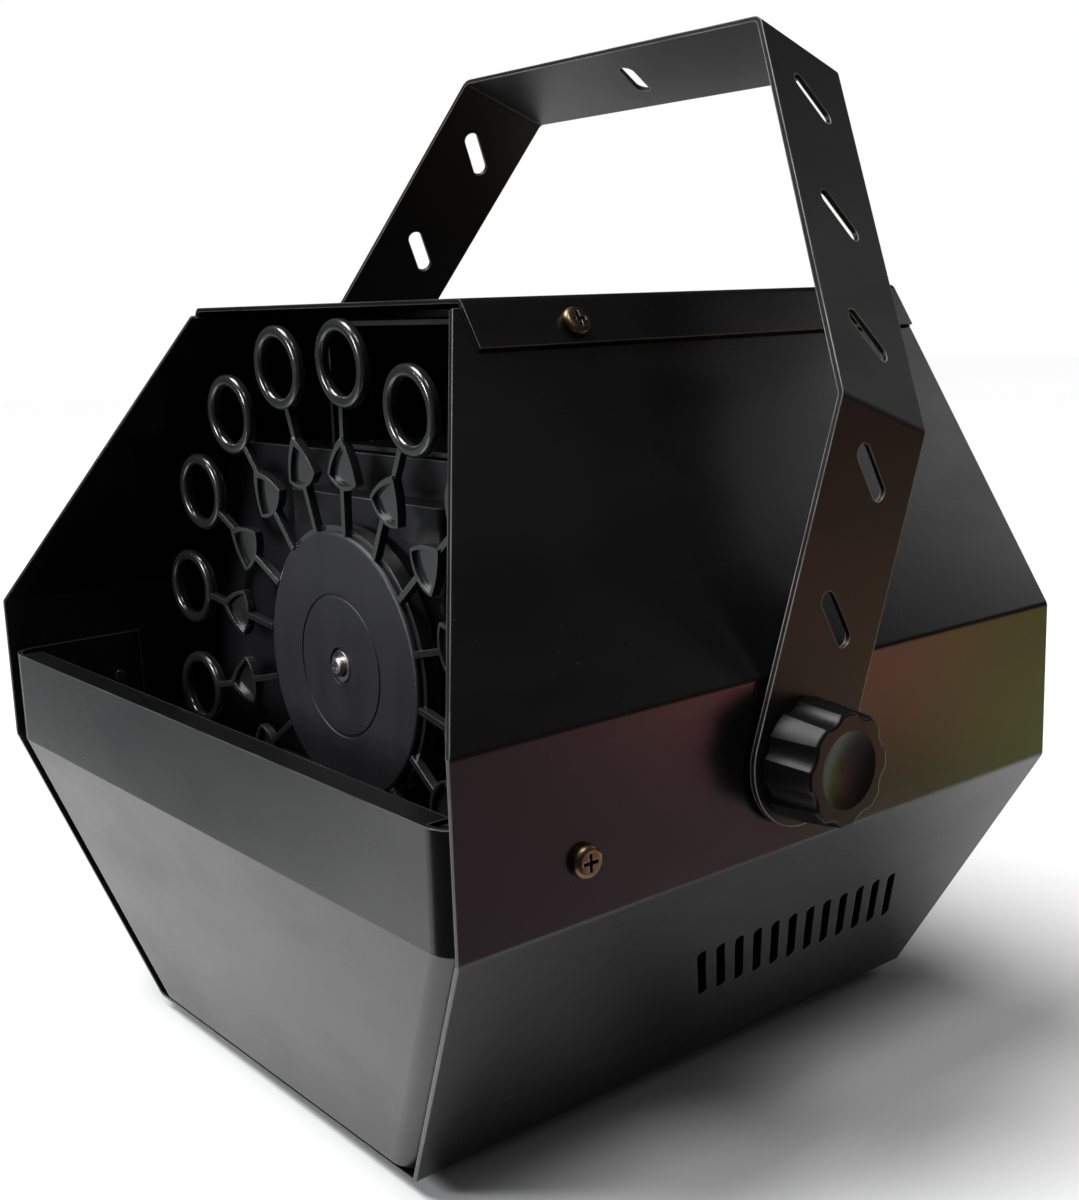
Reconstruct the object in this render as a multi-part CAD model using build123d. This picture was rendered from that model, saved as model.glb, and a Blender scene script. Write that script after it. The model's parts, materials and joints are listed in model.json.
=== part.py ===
from build123d import *
import os
from math import atan2, cos, degrees, hypot, radians, sin, tan

os.makedirs("parts", exist_ok=True)

# ---------------------------------------------------------------------------
# Driving dimensions, in millimetres.  While a piece is built, X is measured
# from the middle, Y from the front of the case and Z from the case's
# underside; export_node then moves it into the row frame.
# ---------------------------------------------------------------------------
SHEET = 1.2                 # case sheet thickness
LAP = 0.05                  # clear gap between two lapped sheets
BELT_HALF = 125.0           # half width at the vertical middle band
BELT_LOW = 82.4             # height where the lower slopes end
BELT_HIGH = 127.7           # height where the upper slopes start
BOTTOM_HALF = 72.75         # half width of the underside
WRAP_TOP_HALF = 68.5        # half width at the upper end of the folded side sheet
WRAP_TOP = 217.4            # height of that upper end
CASE_HEIGHT = 219.7
CASE_DEPTH = 213.4
FRONT_LOW_Y = 20.0          # how far the front slants back at the underside
FRONT_TOP_Y = 48.0          # how far the side's front edge slants back at the top
FOOT_HEIGHT = 4.0
FUSE_CAP_REACH = 9.0        # furthest rear point beyond the case

PANEL_TOP = 111.0           # upper edge of the front panel
PANEL_CORNER = 8.6          # bend radius of the front panel's corners
PANEL_RETURN = 45.0         # how far the front panel's side returns reach back
PANEL_GAP = 0.3             # clearance between the front panel and the case sheet
PANEL_LIFT = 1.2            # dark joint left under the front panel

COVER_FLANGE = 14.0         # top cover's side flange
COVER_FRONT_Y = 49.0

VENT_COUNT = 12
VENT_PITCH = 7.1
VENT_FIRST_Y = 97.0
VENT_LENGTH = 27.0
VENT_WIDTH = 3.0
VENT_LEAN = 61.5            # degrees from the long direction of the case
VENT_Z = 41.5

PIVOT_Y = 104.0
PIVOT_Z = 106.0
REST_TILT = 20.5            # degrees the bracket leans back as stored
STRIP_WIDTH = 34.6
STRIP_THICK = 1.5
ARM_OUTER_X = 128.0
ARM_BEND_S = 88.0
BRACKET_REACH = 193.3
BRACKET_TOP_HALF = 67.7
STRIP_SLOT_LENGTH = 16.5
STRIP_SLOT_WIDTH = 5.0
STRIP_SLOT_LEAN = 40.0     # on the arms, from the strip's width
TOP_SLOT_LEAN = -20.0       # in the middle of the top

STUD_R = 3.0
KNOB_R = 15.6
KNOB_HEIGHT = 13.4
KNOB_TAPER = 6.0

WHEEL_Y = 56.0              # middle plane of the wheel's hub
WHEEL_Z = 117.2
WAND_COUNT = 16
WAND_PHASE = 8.6            # degrees from straight up to the first wand
WAND_LEAN = 4.2             # degrees the wands lean forward of the hub's plane
RING_CENTRE_R = 87.6
RING_OUTER_R = 12.2
RING_INNER_R = 8.7
RING_DEPTH = 3.4
PADDLE_TIP_R = 67.5
PADDLE_WIDE_R = 55.6
PADDLE_BASE_R = 52.5
PADDLE_HALF = 7.4
PADDLE_RIM = 1.1
SPOKE_WIDTH = 1.8
DISC_R = 38.9
DISC_FRONT = 4.8            # disc's face in front of the hub's middle plane
SHAFT_R = 3.0
SHAFT_PLAY = 0.05

TANK_WALL = 2.0
TANK_FLOOR_Z = 9.0
TANK_RIM_Z = 74.0
TANK_REAR_Y = 69.5

PARTITION_Y = 72.0
PARTITION_TOP = 176.0
MOTOR_PAN_HALF = 38.0
MOTOR_PAN_LOW = 78.0
MOTOR_PAN_TOP = 165.0
MOTOR_PAN_FRONT = 61.0

BLOWER_Y = 140.0            # scroll's first arc centre
BLOWER_Z = 163.0
SCROLL_R = 50.0
SCROLL_STEP = 4.0
SCROLL_HALF = 33.0
SCROLL_WALL = 1.5
OUTLET_LOW = 178.0
IMPELLER_R = 33.0
IMPELLER_HALF = 29.0
BLADE_COUNT = 24

SCREW_R = 2.0
SCREW_HEAD_R = 4.0
SCREW_HEAD_H = 2.4

REAR_INNER_Y = CASE_DEPTH - SHEET

CENTRE_Y = (CASE_DEPTH + FUSE_CAP_REACH) / 2

SIDE_ANGLE = degrees(atan2(BELT_HALF - BOTTOM_HALF, BELT_LOW))
UPPER_ANGLE = degrees(atan2(BELT_HALF - WRAP_TOP_HALF, WRAP_TOP - BELT_HIGH))


# ---------------------------------------------------------------------------
# Helpers
# ---------------------------------------------------------------------------
def export_node(name, shape):
    """Move a finished piece into the row frame and write its STEP file."""
    placed = Location((0, -CENTRE_Y, FOOT_HEIGHT)) * shape
    solids = placed.solids()
    if len(solids) == 1:
        node = solids[0]
    else:
        node = Compound(children=list(solids))
    export_step(node, f"parts/{name}.step")


def crossing(p, q, r, s):
    """Point where the line p-q meets the line r-s."""
    ax, az = q[0] - p[0], q[1] - p[1]
    bx, bz = s[0] - r[0], s[1] - r[1]
    along = ((r[0] - p[0]) * bz - (r[1] - p[1]) * bx) / (ax * bz - az * bx)
    return (p[0] + along * ax, p[1] + along * az)


def parallel(points, distance):
    """The open polyline moved to its own left by a distance, corners kept sharp."""
    lines = []
    for (ax, az), (bx, bz) in zip(points, points[1:]):
        length = hypot(bx - ax, bz - az)
        nx = -(bz - az) / length * distance
        nz = (bx - ax) / length * distance
        lines.append(((ax + nx, az + nz), (bx + nx, bz + nz)))
    moved = [lines[0][0]]
    for first, second in zip(lines, lines[1:]):
        moved.append(crossing(*first, *second))
    moved.append(lines[-1][1])
    return moved


def folded_along_y(outline, y0, y1, thick, bend):
    """Sheet of one thickness folded along an X-Z outline, running in Y."""
    middle = parallel(outline, thick / 2)
    path = FilletPolyline(*middle, radius=bend)
    section = trace(path, line_width=thick)
    return extrude(Plane((0, y0, 0), x_dir=(1, 0, 0), z_dir=(0, -1, 0)) * section, amount=y0 - y1)


def folded_along_x(outline, x0, x1, thick, bend):
    """Sheet of one thickness folded along a Y-Z outline, running in X."""
    middle = parallel(outline, thick / 2)
    path = FilletPolyline(*middle, radius=bend)
    section = trace(path, line_width=thick)
    return extrude(Plane((x0, 0, 0), x_dir=(0, 1, 0), z_dir=(1, 0, 0)) * section, amount=x1 - x0)


def prism_y(points, y0, y1):
    """Block whose X-Z outline runs from y0 to y1."""
    outline = Wire.make_polygon([Vector(x, y0, z) for x, z in points], close=True)
    return extrude(Face(outline), amount=y1 - y0, dir=(0, 1, 0))


def prism_x(points, x0, x1):
    """Block whose Y-Z outline runs from x0 to x1."""
    outline = Wire.make_polygon([Vector(x0, y, z) for y, z in points], close=True)
    return extrude(Face(outline), amount=x1 - x0, dir=(1, 0, 0))


def block(x0, x1, y0, y1, z0, z1):
    """Box between opposite corners."""
    return Pos((x0 + x1) / 2, (y0 + y1) / 2, (z0 + z1) / 2) * Box(x1 - x0, y1 - y0, z1 - z0)


def rod_x(x0, x1, y, z, radius):
    """Cylinder along X."""
    return Pos((x0 + x1) / 2, y, z) * Rot(0, 90, 0) * Cylinder(radius, x1 - x0)


def rod_y(x, y0, y1, z, radius):
    """Cylinder along Y."""
    return Pos(x, (y0 + y1) / 2, z) * Rot(90, 0, 0) * Cylinder(radius, y1 - y0)


def rod_z(x, y, z0, z1, radius):
    """Cylinder along Z."""
    return Pos(x, y, (z0 + z1) / 2) * Cylinder(radius, z1 - z0)


def on_face(point, outward, along):
    """Plane standing on a face, its own Z pointing outward."""
    return Plane(origin=point, x_dir=along, z_dir=outward)


def pan_screw(length, radius=SCREW_R):
    """Cross-recessed pan head screw: head above the origin plane, shank below."""
    head = extrude(Circle(SCREW_HEAD_R), amount=SCREW_HEAD_H)
    head = fillet(head.faces().sort_by(Axis.Z)[-1].edges(), 1.4)
    shank = Pos(0, 0, -length / 2) * Cylinder(radius, length)
    cross = Box(4.4, 1.0, 2.6) + Box(1.0, 4.4, 2.6)
    return head + shank - Pos(0, 0, SCREW_HEAD_H) * cross


def merged(shapes):
    """One compound of separate solids."""
    solids = []
    for shape in shapes:
        solids.extend(shape.solids())
    return Compound(children=solids)


def left_and_right(shape):
    """The piece and its mirror image across the middle."""
    return [shape, mirror(shape, about=Plane.YZ)]


def side_outline():
    """Outer X-Z outline of the folded case sheet, from left top round to right top."""
    return [
        (-WRAP_TOP_HALF, WRAP_TOP),
        (-BELT_HALF, BELT_HIGH),
        (-BELT_HALF, BELT_LOW),
        (-BOTTOM_HALF, 0),
        (BOTTOM_HALF, 0),
        (BELT_HALF, BELT_LOW),
        (BELT_HALF, BELT_HIGH),
        (WRAP_TOP_HALF, WRAP_TOP),
    ]


def inner_outline(gap):
    """Closed X-Z outline that keeps a gap from the inside of the case sheet."""
    inner = parallel(side_outline(), SHEET + gap)
    top = WRAP_TOP - gap
    slope = tan(radians(UPPER_ANGLE))
    half_top = inner[-2][0] - (top - inner[-2][1]) * slope
    return [(-half_top, top)] + inner[1:-1] + [(half_top, top)]


def inner_half(z, gap):
    """Inside half width of the case sheet at one height, less a gap."""
    points = parallel(side_outline(), SHEET + gap)[4:]
    for (x0, z0), (x1, z1) in zip(points, points[1:]):
        if z0 <= z <= z1:
            return x0 + (x1 - x0) * (z - z0) / (z1 - z0)
    return points[0][0]


def front_y(z):
    """Y of the front edges at one height."""
    if z < BELT_LOW:
        return FRONT_LOW_Y * (1 - z / BELT_LOW)
    if z > BELT_HIGH:
        return FRONT_TOP_Y * (z - BELT_HIGH) / (CASE_HEIGHT - BELT_HIGH)
    return 0.0


def upper_slope_point(z):
    """Point and outward normal on the right upper slope's outer face."""
    slope = tan(radians(UPPER_ANGLE))
    x = BELT_HALF - (z - BELT_HIGH) * slope
    return x, (cos(radians(UPPER_ANGLE)), 0, sin(radians(UPPER_ANGLE)))


def cover_outline():
    """Outer X-Z outline of the top cover, from the left flange to the right one."""
    nx = cos(radians(UPPER_ANGLE))
    nz = sin(radians(UPPER_ANGLE))
    corner = WRAP_TOP_HALF - (CASE_HEIGHT - WRAP_TOP) * nz / nx + (SHEET + LAP) / nx
    end = (corner + COVER_FLANGE * nz, CASE_HEIGHT - COVER_FLANGE * nx)
    return [(-end[0], end[1]), (-corner, CASE_HEIGHT), (corner, CASE_HEIGHT), end]


COVER_SCREW_PLACES = [81.0, 190.0]
COVER_SCREW_Z = 212.0
TRAY_SCREW = (35.0, 97.0)
REAR_SCREW_INSET = 8.0
REAR_BELT_Z = 105.0
REAR_SLOPE_Z = 190.0


def cover_screw_frames():
    """Planes on the cover's flanges where its screws sit."""
    frames = []
    x, normal = upper_slope_point(COVER_SCREW_Z)
    lift = SHEET + LAP
    for y in COVER_SCREW_PLACES:
        point = (x + normal[0] * lift, y, COVER_SCREW_Z + normal[2] * lift)
        frames.append(on_face(point, normal, (0, 1, 0)))
        frames.append(on_face((-point[0], y, point[2]), (-normal[0], 0, normal[2]), (0, 1, 0)))
    return frames


def rear_fixing_frames():
    """Planes on the inside of the case where the rear panel's angle pieces are welded."""
    frames = []
    x, normal = upper_slope_point(REAR_SLOPE_Z)
    x = x - SHEET * normal[0]
    z = REAR_SLOPE_Z - SHEET * normal[2]
    belt = BELT_HALF - SHEET
    for side in (-1, 1):
        frames.append(on_face((side * belt, REAR_INNER_Y, REAR_BELT_Z), (side, 0, 0), (0, 1, 0)))
        frames.append(on_face((side * x, REAR_INNER_Y, z), (side * normal[0], 0, normal[2]), (0, 1, 0)))
    return frames


def rear_screw_frames():
    """Planes on the back of the case where the rear panel's screws sit."""
    frames = []
    for frame in rear_fixing_frames():
        centre = frame * Pos(SHEET, 0, -REAR_SCREW_INSET)
        x, _, z = centre.position
        frames.append(on_face((x, CASE_DEPTH, z), (0, 1, 0), (1, 0, 0)))
    return frames


def tray_screw_frames():
    """Planes on the belt where the front panel's screws sit."""
    y, z = TRAY_SCREW
    return [on_face((side * BELT_HALF, y, z), (side, 0, 0), (0, 1, 0)) for side in (-1, 1)]


def screw_holes(frames, depth=8.0, radius=SCREW_R + 0.12):
    """Clearance holes through whatever lies under the screw frames."""
    return [frame * Pos(0, 0, 1 - depth / 2) * Cylinder(radius, depth + 2) for frame in frames]


FOOT_PLACES = [(-56.0, 42.0), (56.0, 42.0), (-56.0, 190.0), (56.0, 190.0)]


# ---------------------------------------------------------------------------
# Case
# ---------------------------------------------------------------------------
def case_wrap():
    """Bottom and both sides folded from one sheet, with vents and pivot holes."""
    sheet = folded_along_y(side_outline(), 0, CASE_DEPTH, SHEET, 2.0)
    silhouette = [
        (front_y(-1) + FRONT_LOW_Y / BELT_LOW, -1),
        (0, BELT_LOW),
        (0, BELT_HIGH),
        (front_y(CASE_HEIGHT + 2), CASE_HEIGHT + 2),
        (CASE_DEPTH, CASE_HEIGHT + 2),
        (CASE_DEPTH, -1),
    ]
    sheet = sheet & prism_x(silhouette, -BELT_HALF - 1, BELT_HALF + 1)
    cutters = [rod_x(-BELT_HALF - 2, BELT_HALF + 2, PIVOT_Y, PIVOT_Z, 5.1)]
    cutters += screw_holes(cover_screw_frames())
    cutters += screw_holes(tray_screw_frames())
    cutters += [rod_z(x, y, -2, 4, 1.9) for x, y in FOOT_PLACES]
    cutters += vent_cutters()
    return sheet - cutters


def vent_cutters():
    """Slanted cooling slots in both lower slopes."""
    down = radians(SIDE_ANGLE)
    x = BOTTOM_HALF + VENT_Z * tan(down)
    cutters = []
    for side in (-1, 1):
        normal = (side * cos(down), 0, -sin(down))
        lean = -VENT_LEAN * side
        for step in range(VENT_COUNT):
            frame = on_face((side * x, VENT_FIRST_Y + step * VENT_PITCH, VENT_Z), normal, (0, 1, 0))
            slot = SlotOverall(VENT_LENGTH, VENT_WIDTH, rotation=lean)
            cutters.append(extrude(frame * slot, amount=3, both=True))
    return cutters


def tray_block(inset, z_low):
    """Solid nose of the front panel, moved in from its outer faces by an inset."""
    slant = cos(radians(SIDE_ANGLE))
    sections = []
    for z, lean in ((z_low, slant), (BELT_LOW, 1.0), (PANEL_TOP, 1.0)):
        half = inner_half(z, PANEL_GAP) - inset / lean
        front = front_y(z) + inset
        radius = max(PANEL_CORNER - inset, 1.0)
        with BuildSketch(Plane.XY.offset(z)) as section:
            with BuildLine():
                Polyline(
                    (-half, PANEL_RETURN + 40), (-half, front), (half, front),
                    (half, PANEL_RETURN + 40), close=True,
                )
            make_face()
            fillet(section.vertices().sort_by(Axis.Y)[:2], radius)
        sections.append(section.sketch.face())
    lower = Solid.make_loft([sections[0].outer_wire(), sections[1].outer_wire()], ruled=True)
    upper = Solid.make_loft([sections[1].outer_wire(), sections[2].outer_wire()], ruled=True)
    return Part() + lower + upper


def front_panel():
    """Front sheet with rounded corners, side returns, a hemmed top edge and a foot flange."""
    z_low = SHEET + PANEL_LIFT
    outer = tray_block(0, z_low)
    inner = tray_block(SHEET, z_low)
    panel = outer - inner
    panel = panel & block(-130, 130, -1, PANEL_RETURN, 0, PANEL_TOP)
    lip_front = SHEET
    lip_half = inner_half(PANEL_TOP, PANEL_GAP) - PANEL_CORNER - 1
    lip = block(-lip_half, lip_half, lip_front - 0.4, lip_front + 6, PANEL_TOP - SHEET, PANEL_TOP)
    foot_half = inner_half(z_low, PANEL_GAP) - PANEL_CORNER
    foot_front = front_y(z_low) + SHEET - 0.6
    foot = block(-foot_half, foot_half, foot_front, foot_front + 9, z_low, z_low + SHEET)
    panel = panel + lip + foot
    return panel - screw_holes(tray_screw_frames())


def top_cover():
    """Lid sheet with both side edges folded down over the sloping sides."""
    outline = cover_outline()
    outline.reverse()
    sheet = folded_along_y(outline, COVER_FRONT_Y, CASE_DEPTH, SHEET, 1.8)
    return sheet - screw_holes(cover_screw_frames())


def rear_panel():
    """Back plate with one tab folded forwards, an air intake and cut-outs for the mains parts."""
    plate = prism_y(inner_outline(0.15), REAR_INNER_Y, CASE_DEPTH)
    tab_depth = 14.0
    ring = prism_y(inner_outline(0.15), REAR_INNER_Y - tab_depth, REAR_INNER_Y)
    ring = ring - prism_y(inner_outline(0.15 + SHEET), REAR_INNER_Y - tab_depth - 1, REAR_INNER_Y)
    panel = plate + (ring & block(-40, 40, 150, REAR_INNER_Y, -1, 5))
    cutters = screw_holes(rear_screw_frames())
    cutters += intake_cutters()
    cutters.append(block(INLET_X - 14.2, INLET_X + 14.2, 200, 220, INLET_Z - 10.6, INLET_Z + 10.6))
    cutters += [rod_y(INLET_X + side * 20, 200, 220, INLET_Z, 1.7) for side in (-1, 1)]
    cutters.append(block(SWITCH_X - 6.6, SWITCH_X + 6.6, 200, 220, SWITCH_Z - 9.8, SWITCH_Z + 9.8))
    cutters.append(rod_y(FUSE_X, 200, 220, FUSE_Z, 6.1))
    return panel - cutters


INTAKE_Z = 150.0
INLET_X = -34.0
INLET_Z = 46.0
SWITCH_X = 12.0
SWITCH_Z = 46.0
FUSE_X = 46.0
FUSE_Z = 46.0


def intake_cutters():
    """Rows of obround air slots inside a round field on the back plate."""
    cutters = []
    field_r = 44.0
    for row in range(-5, 6):
        z = row * 8.0
        half = (field_r ** 2 - z ** 2) ** 0.5
        for side in (-1, 1):
            x0, x1 = 3.5, half
            if x1 - x0 < 8:
                continue
            frame = on_face((side * (x0 + x1) / 2, CASE_DEPTH, INTAKE_Z + z), (0, 1, 0), (1, 0, 0))
            cutters.append(extrude(frame * SlotOverall(x1 - x0, 3.6), amount=3, both=True))
    return cutters


def rear_angles():
    """Small welded angle pieces inside the case that the rear panel is screwed to."""
    pieces = []
    for frame in rear_fixing_frames():
        along_wall = Pos(-7.0, 0, -SHEET / 2) * Box(14.0, 14.0, SHEET)
        along_panel = Pos(-SHEET / 2, 0, -7.0) * Box(SHEET, 14.0, 14.0)
        angle = frame * (Pos(-0.05, 0, -0.02) * (along_wall + along_panel))
        pieces.append(angle)
    angles = merged(pieces)
    holes = [frame * Pos(0, 0, -4) * Cylinder(SCREW_R + 0.02, 8) for frame in rear_screw_frames()]
    return merged([piece - holes for piece in angles.solids()])


def rubber_feet():
    """Four round rubber feet with a countersunk screw seat."""
    feet = []
    for x, y in FOOT_PLACES:
        foot = Pos(x, y, -FOOT_HEIGHT) * extrude(Circle(8.5), amount=FOOT_HEIGHT, taper=-8)
        foot = foot - rod_z(x, y, -FOOT_HEIGHT - 1, -FOOT_HEIGHT + 2.4, 4.4)
        feet.append(foot - rod_z(x, y, -FOOT_HEIGHT, 1, 1.9))
    return merged(feet)


def foot_screws():
    """Screws holding the feet, heads sunk inside the rubber."""
    screws = []
    for x, y in FOOT_PLACES:
        head = rod_z(x, y, -FOOT_HEIGHT + 0.6, -FOOT_HEIGHT + 2.4, 3.4)
        shank = rod_z(x, y, -FOOT_HEIGHT + 2.4, 4.5, 1.7)
        nut = extrude(Pos(x, y, SHEET) * RegularPolygon(3.2, 6), amount=2.4)
        screws.append(head + shank + nut)
    return merged(screws)


def screws_at(frames, length=7.0):
    """The same screw at every frame."""
    return merged([frame * pan_screw(length) for frame in frames])


# ---------------------------------------------------------------------------
# Hanging bracket and clamp knobs
# ---------------------------------------------------------------------------
def tilted(shape):
    """Lean a piece modelled in the upright bracket frame back to the rest tilt."""
    return Pos(0, PIVOT_Y, PIVOT_Z) * Rot(-REST_TILT, 0, 0) * shape


def hanging_bracket():
    """Flat strip bent into a tapering yoke, with slanted slots and two pivot holes."""
    reach = STRIP_WIDTH / 2
    outline = [
        (-ARM_OUTER_X, -reach), (-ARM_OUTER_X, ARM_BEND_S), (-BRACKET_TOP_HALF, BRACKET_REACH),
        (BRACKET_TOP_HALF, BRACKET_REACH), (ARM_OUTER_X, ARM_BEND_S), (ARM_OUTER_X, -reach),
    ]
    outline.reverse()
    strip = folded_along_y(outline, -reach, reach, STRIP_THICK, 3.2)
    keep = block(-140, 140, -reach, reach, 0, BRACKET_REACH + 1)
    keep += rod_x(-140, 140, 0, 0, reach)
    strip = strip & keep
    strip = strip - rod_x(-140, 140, 0, 0, STUD_R + 0.08)
    return tilted(strip - strip_slots())


def strip_slots():
    """Slanted obround slots along both arms and one in the middle of the top."""
    slope = atan2(ARM_OUTER_X - BRACKET_TOP_HALF, BRACKET_REACH - ARM_BEND_S)
    slot = SlotOverall(STRIP_SLOT_LENGTH, STRIP_SLOT_WIDTH, rotation=-STRIP_SLOT_LEAN)
    mirrored = SlotOverall(STRIP_SLOT_LENGTH, STRIP_SLOT_WIDTH, rotation=STRIP_SLOT_LEAN)
    cutters = []
    for side, shape in ((1, slot), (-1, mirrored)):
        for s in (35.0, 72.5):
            frame = on_face((side * ARM_OUTER_X, 0, s), (side, 0, 0), (0, 1, 0))
            cutters.append(extrude(frame * shape, amount=5, both=True))
        for s in (23.0, 61.0, 101.0):
            x = side * (ARM_OUTER_X - s * sin(slope))
            z = ARM_BEND_S + s * cos(slope)
            frame = on_face((x, 0, z), (side * cos(slope), 0, sin(slope)), (0, 1, 0))
            cutters.append(extrude(frame * shape, amount=5, both=True))
    top = on_face((0, 0, BRACKET_REACH), (0, 0, 1), (0, -1, 0))
    top_slot = SlotOverall(STRIP_SLOT_LENGTH, STRIP_SLOT_WIDTH, rotation=-TOP_SLOT_LEAN)
    cutters.append(extrude(top * top_slot, amount=5, both=True))
    return cutters


KNOB_BASE_X = ARM_OUTER_X + 1.2


def clamp_knob(side):
    """Fluted tapering grip with a dished face, made on the right and mirrored for the left."""
    profile = Circle(KNOB_R)
    flute = Circle(4.4)
    count = 8
    for step in range(count):
        angle = 2 * 180 / count * (step + 0.5)
        place = Pos((KNOB_R + 3.2) * cos(radians(angle)), (KNOB_R + 3.2) * sin(radians(angle)))
        profile = profile - place * flute
    grip = extrude(profile, amount=KNOB_HEIGHT, taper=KNOB_TAPER)
    grip = fillet(grip.faces().sort_by(Axis.Z)[-1].edges(), 1.0)
    dish = Pos(0, 0, KNOB_HEIGHT + 22.6) * Sphere(24.6)
    grip = grip - dish
    boss = Pos(0, 0, -0.5) * Cylinder(8.0, 1.2)
    bore = Cylinder(STUD_R, 2 * (KNOB_HEIGHT - 4.4))
    knob = Pos(KNOB_BASE_X, PIVOT_Y, PIVOT_Z) * Rot(0, 90, 0) * (grip + boss - bore)
    if side < 0:
        knob = mirror(knob, about=Plane.YZ)
    return knob


def clamp_stud(side):
    """Steel stud moulded into the knob, with a washer under the grip."""
    stud = rod_x(BELT_HALF - 14, KNOB_BASE_X + KNOB_HEIGHT - 4.4, PIVOT_Y, PIVOT_Z, STUD_R)
    stud = chamfer(stud.edges().group_by(Axis.X)[0], 0.6)
    if side < 0:
        stud = mirror(stud, about=Plane.YZ)
    return stud


def pivot_washers():
    """Fibre washers between the case and the bracket's arms."""
    x0 = BELT_HALF + 0.02
    x1 = ARM_OUTER_X - STRIP_THICK - 0.02
    washer = rod_x(x0, x1, PIVOT_Y, PIVOT_Z, 12.0) - rod_x(x0 - 1, x1 + 1, PIVOT_Y, PIVOT_Z, 5.1)
    return merged(left_and_right(washer))


def pivot_nuts():
    """Threaded inserts set into the belt, with a flange inside the case."""
    inner = BELT_HALF - SHEET
    nut = rod_x(inner - 9, BELT_HALF + 0.3, PIVOT_Y, PIVOT_Z, 5.0)
    nut = nut + rod_x(inner - 1.6, inner - 0.02, PIVOT_Y, PIVOT_Z, 8.0)
    nut = nut - rod_x(inner - 12, BELT_HALF + 3, PIVOT_Y, PIVOT_Z, STUD_R + 0.06)
    return merged(left_and_right(nut))


# ---------------------------------------------------------------------------
# Bubble wheel
# ---------------------------------------------------------------------------
def wand_ring():
    """Blowing hoop: a thin band with well rounded edges round its hole."""
    half = RING_DEPTH / 2
    with BuildSketch(Plane.XZ) as section:
        with Locations(((RING_INNER_R + RING_OUTER_R) / 2, 0)):
            Rectangle(RING_OUTER_R - RING_INNER_R, RING_DEPTH)
        fillet(section.vertices(), min(half, 1.3))
    ring = revolve(section.sketch, Axis.Z, 360)
    return Pos(0, 0, RING_CENTRE_R) * Rot(90, 0, 0) * ring


def leaf_outline(inset):
    """Leaf shape on the wheel's plane: pointed tip outward, broad rounded base."""
    tip = PADDLE_TIP_R - 2.2 * inset
    base = PADDLE_BASE_R + inset
    half = PADDLE_HALF - inset
    with BuildSketch(Plane.XZ) as leaf:
        with BuildLine():
            ThreePointArc((0, tip), (half * 0.66, (tip + PADDLE_WIDE_R) / 2), (half, PADDLE_WIDE_R))
            ThreePointArc((half, PADDLE_WIDE_R), (0, base), (-half, PADDLE_WIDE_R))
            ThreePointArc((-half, PADDLE_WIDE_R), (-half * 0.66, (tip + PADDLE_WIDE_R) / 2), (0, tip))
        make_face()
    return leaf.sketch


def paddle():
    """Leaf-shaped plate on a spoke with a raised rim round its edge."""
    plate = Pos(0, 0.2, 0) * extrude(leaf_outline(0), amount=0.7, both=True)
    rim = Pos(0, -0.5, 0) * extrude(leaf_outline(0), amount=1.3, both=True)
    rim = rim - extrude(leaf_outline(PADDLE_RIM), amount=3.0, both=True)
    return plate + rim


def wand():
    """One spoke with its paddle and hoop, pointing straight up from the axle."""
    ring = wand_ring()
    foot = RING_CENTRE_R - RING_OUTER_R
    half = SPOKE_WIDTH / 2
    outer = block(-half, half, -1.2, 1.0, PADDLE_TIP_R - 3.0, foot + 1.0)
    inner = block(-half, half, -1.8, 0.7, DISC_R + 0.5, PADDLE_BASE_R + 0.9)
    return inner + paddle() + outer + ring


def wand_wheel():
    """Moulded wheel: hub, web and all the wands in one piece."""
    hub = rod_y(0, -2.4, 3.2, 0, 9.0) + rod_y(0, -1.2, 1.6, 0, DISC_R - 2.6)
    hub = hub + (rod_y(0, -3.1, 1.6, 0, DISC_R + 1.8) - rod_y(0, -4, 6, 0, DISC_R - 4.0))
    single = Rot(WAND_LEAN, 0, 0) * wand()
    wheel = hub
    for step in range(WAND_COUNT):
        wheel = wheel + Rot(0, WAND_PHASE + step * 360 / WAND_COUNT, 0) * single
    wheel = wheel - rod_y(0, -6, 10, 0, SHAFT_R)
    return Pos(0, WHEEL_Y, WHEEL_Z) * wheel


def hub_disc():
    """Round plate over the wheel's web, with a shallow ring round its middle."""
    disc = rod_y(0, -DISC_FRONT, -DISC_FRONT + 1.6, 0, DISC_R)
    disc = fillet(disc.faces().sort_by(Axis.Y)[0].edges(), 1.0)
    groove = rod_y(0, -DISC_FRONT - 1, -DISC_FRONT + 0.3, 0, 21.2)
    groove = groove - rod_y(0, -DISC_FRONT - 2, -DISC_FRONT + 1, 0, 20.2)
    disc = disc - groove
    disc = disc - rod_y(0, -DISC_FRONT - 1, -DISC_FRONT + 0.8, 0, 5.4)
    post = rod_y(0, -DISC_FRONT + 0.8, -2.42, 0, 9.0)
    disc = disc + post
    return Pos(0, WHEEL_Y, WHEEL_Z) * (disc - rod_y(0, -DISC_FRONT - 1, 0, 0, 2.2))


def hub_screw():
    """Pan head screw and washer holding the wheel on its shaft."""
    seat = WHEEL_Y - DISC_FRONT + 0.8 - 0.02
    frame = on_face((0, seat - 0.7, WHEEL_Z), (0, -1, 0), (1, 0, 0))
    washer = rod_y(0, seat - 0.7, seat, WHEEL_Z, 4.6)
    return (frame * small_screw(7.0)) + washer


def wheel_shaft():
    """Output shaft of the gearmotor, carrying the wheel."""
    y0 = WHEEL_Y - 2.2
    y1 = MOTOR_PAN_FRONT + 18.0
    shaft = rod_y(0, y0, y1, WHEEL_Z, SHAFT_R)
    shaft = shaft - rod_y(0, y0 - 1, y0 + 5.6, WHEEL_Z, 1.52)
    return shaft


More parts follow.
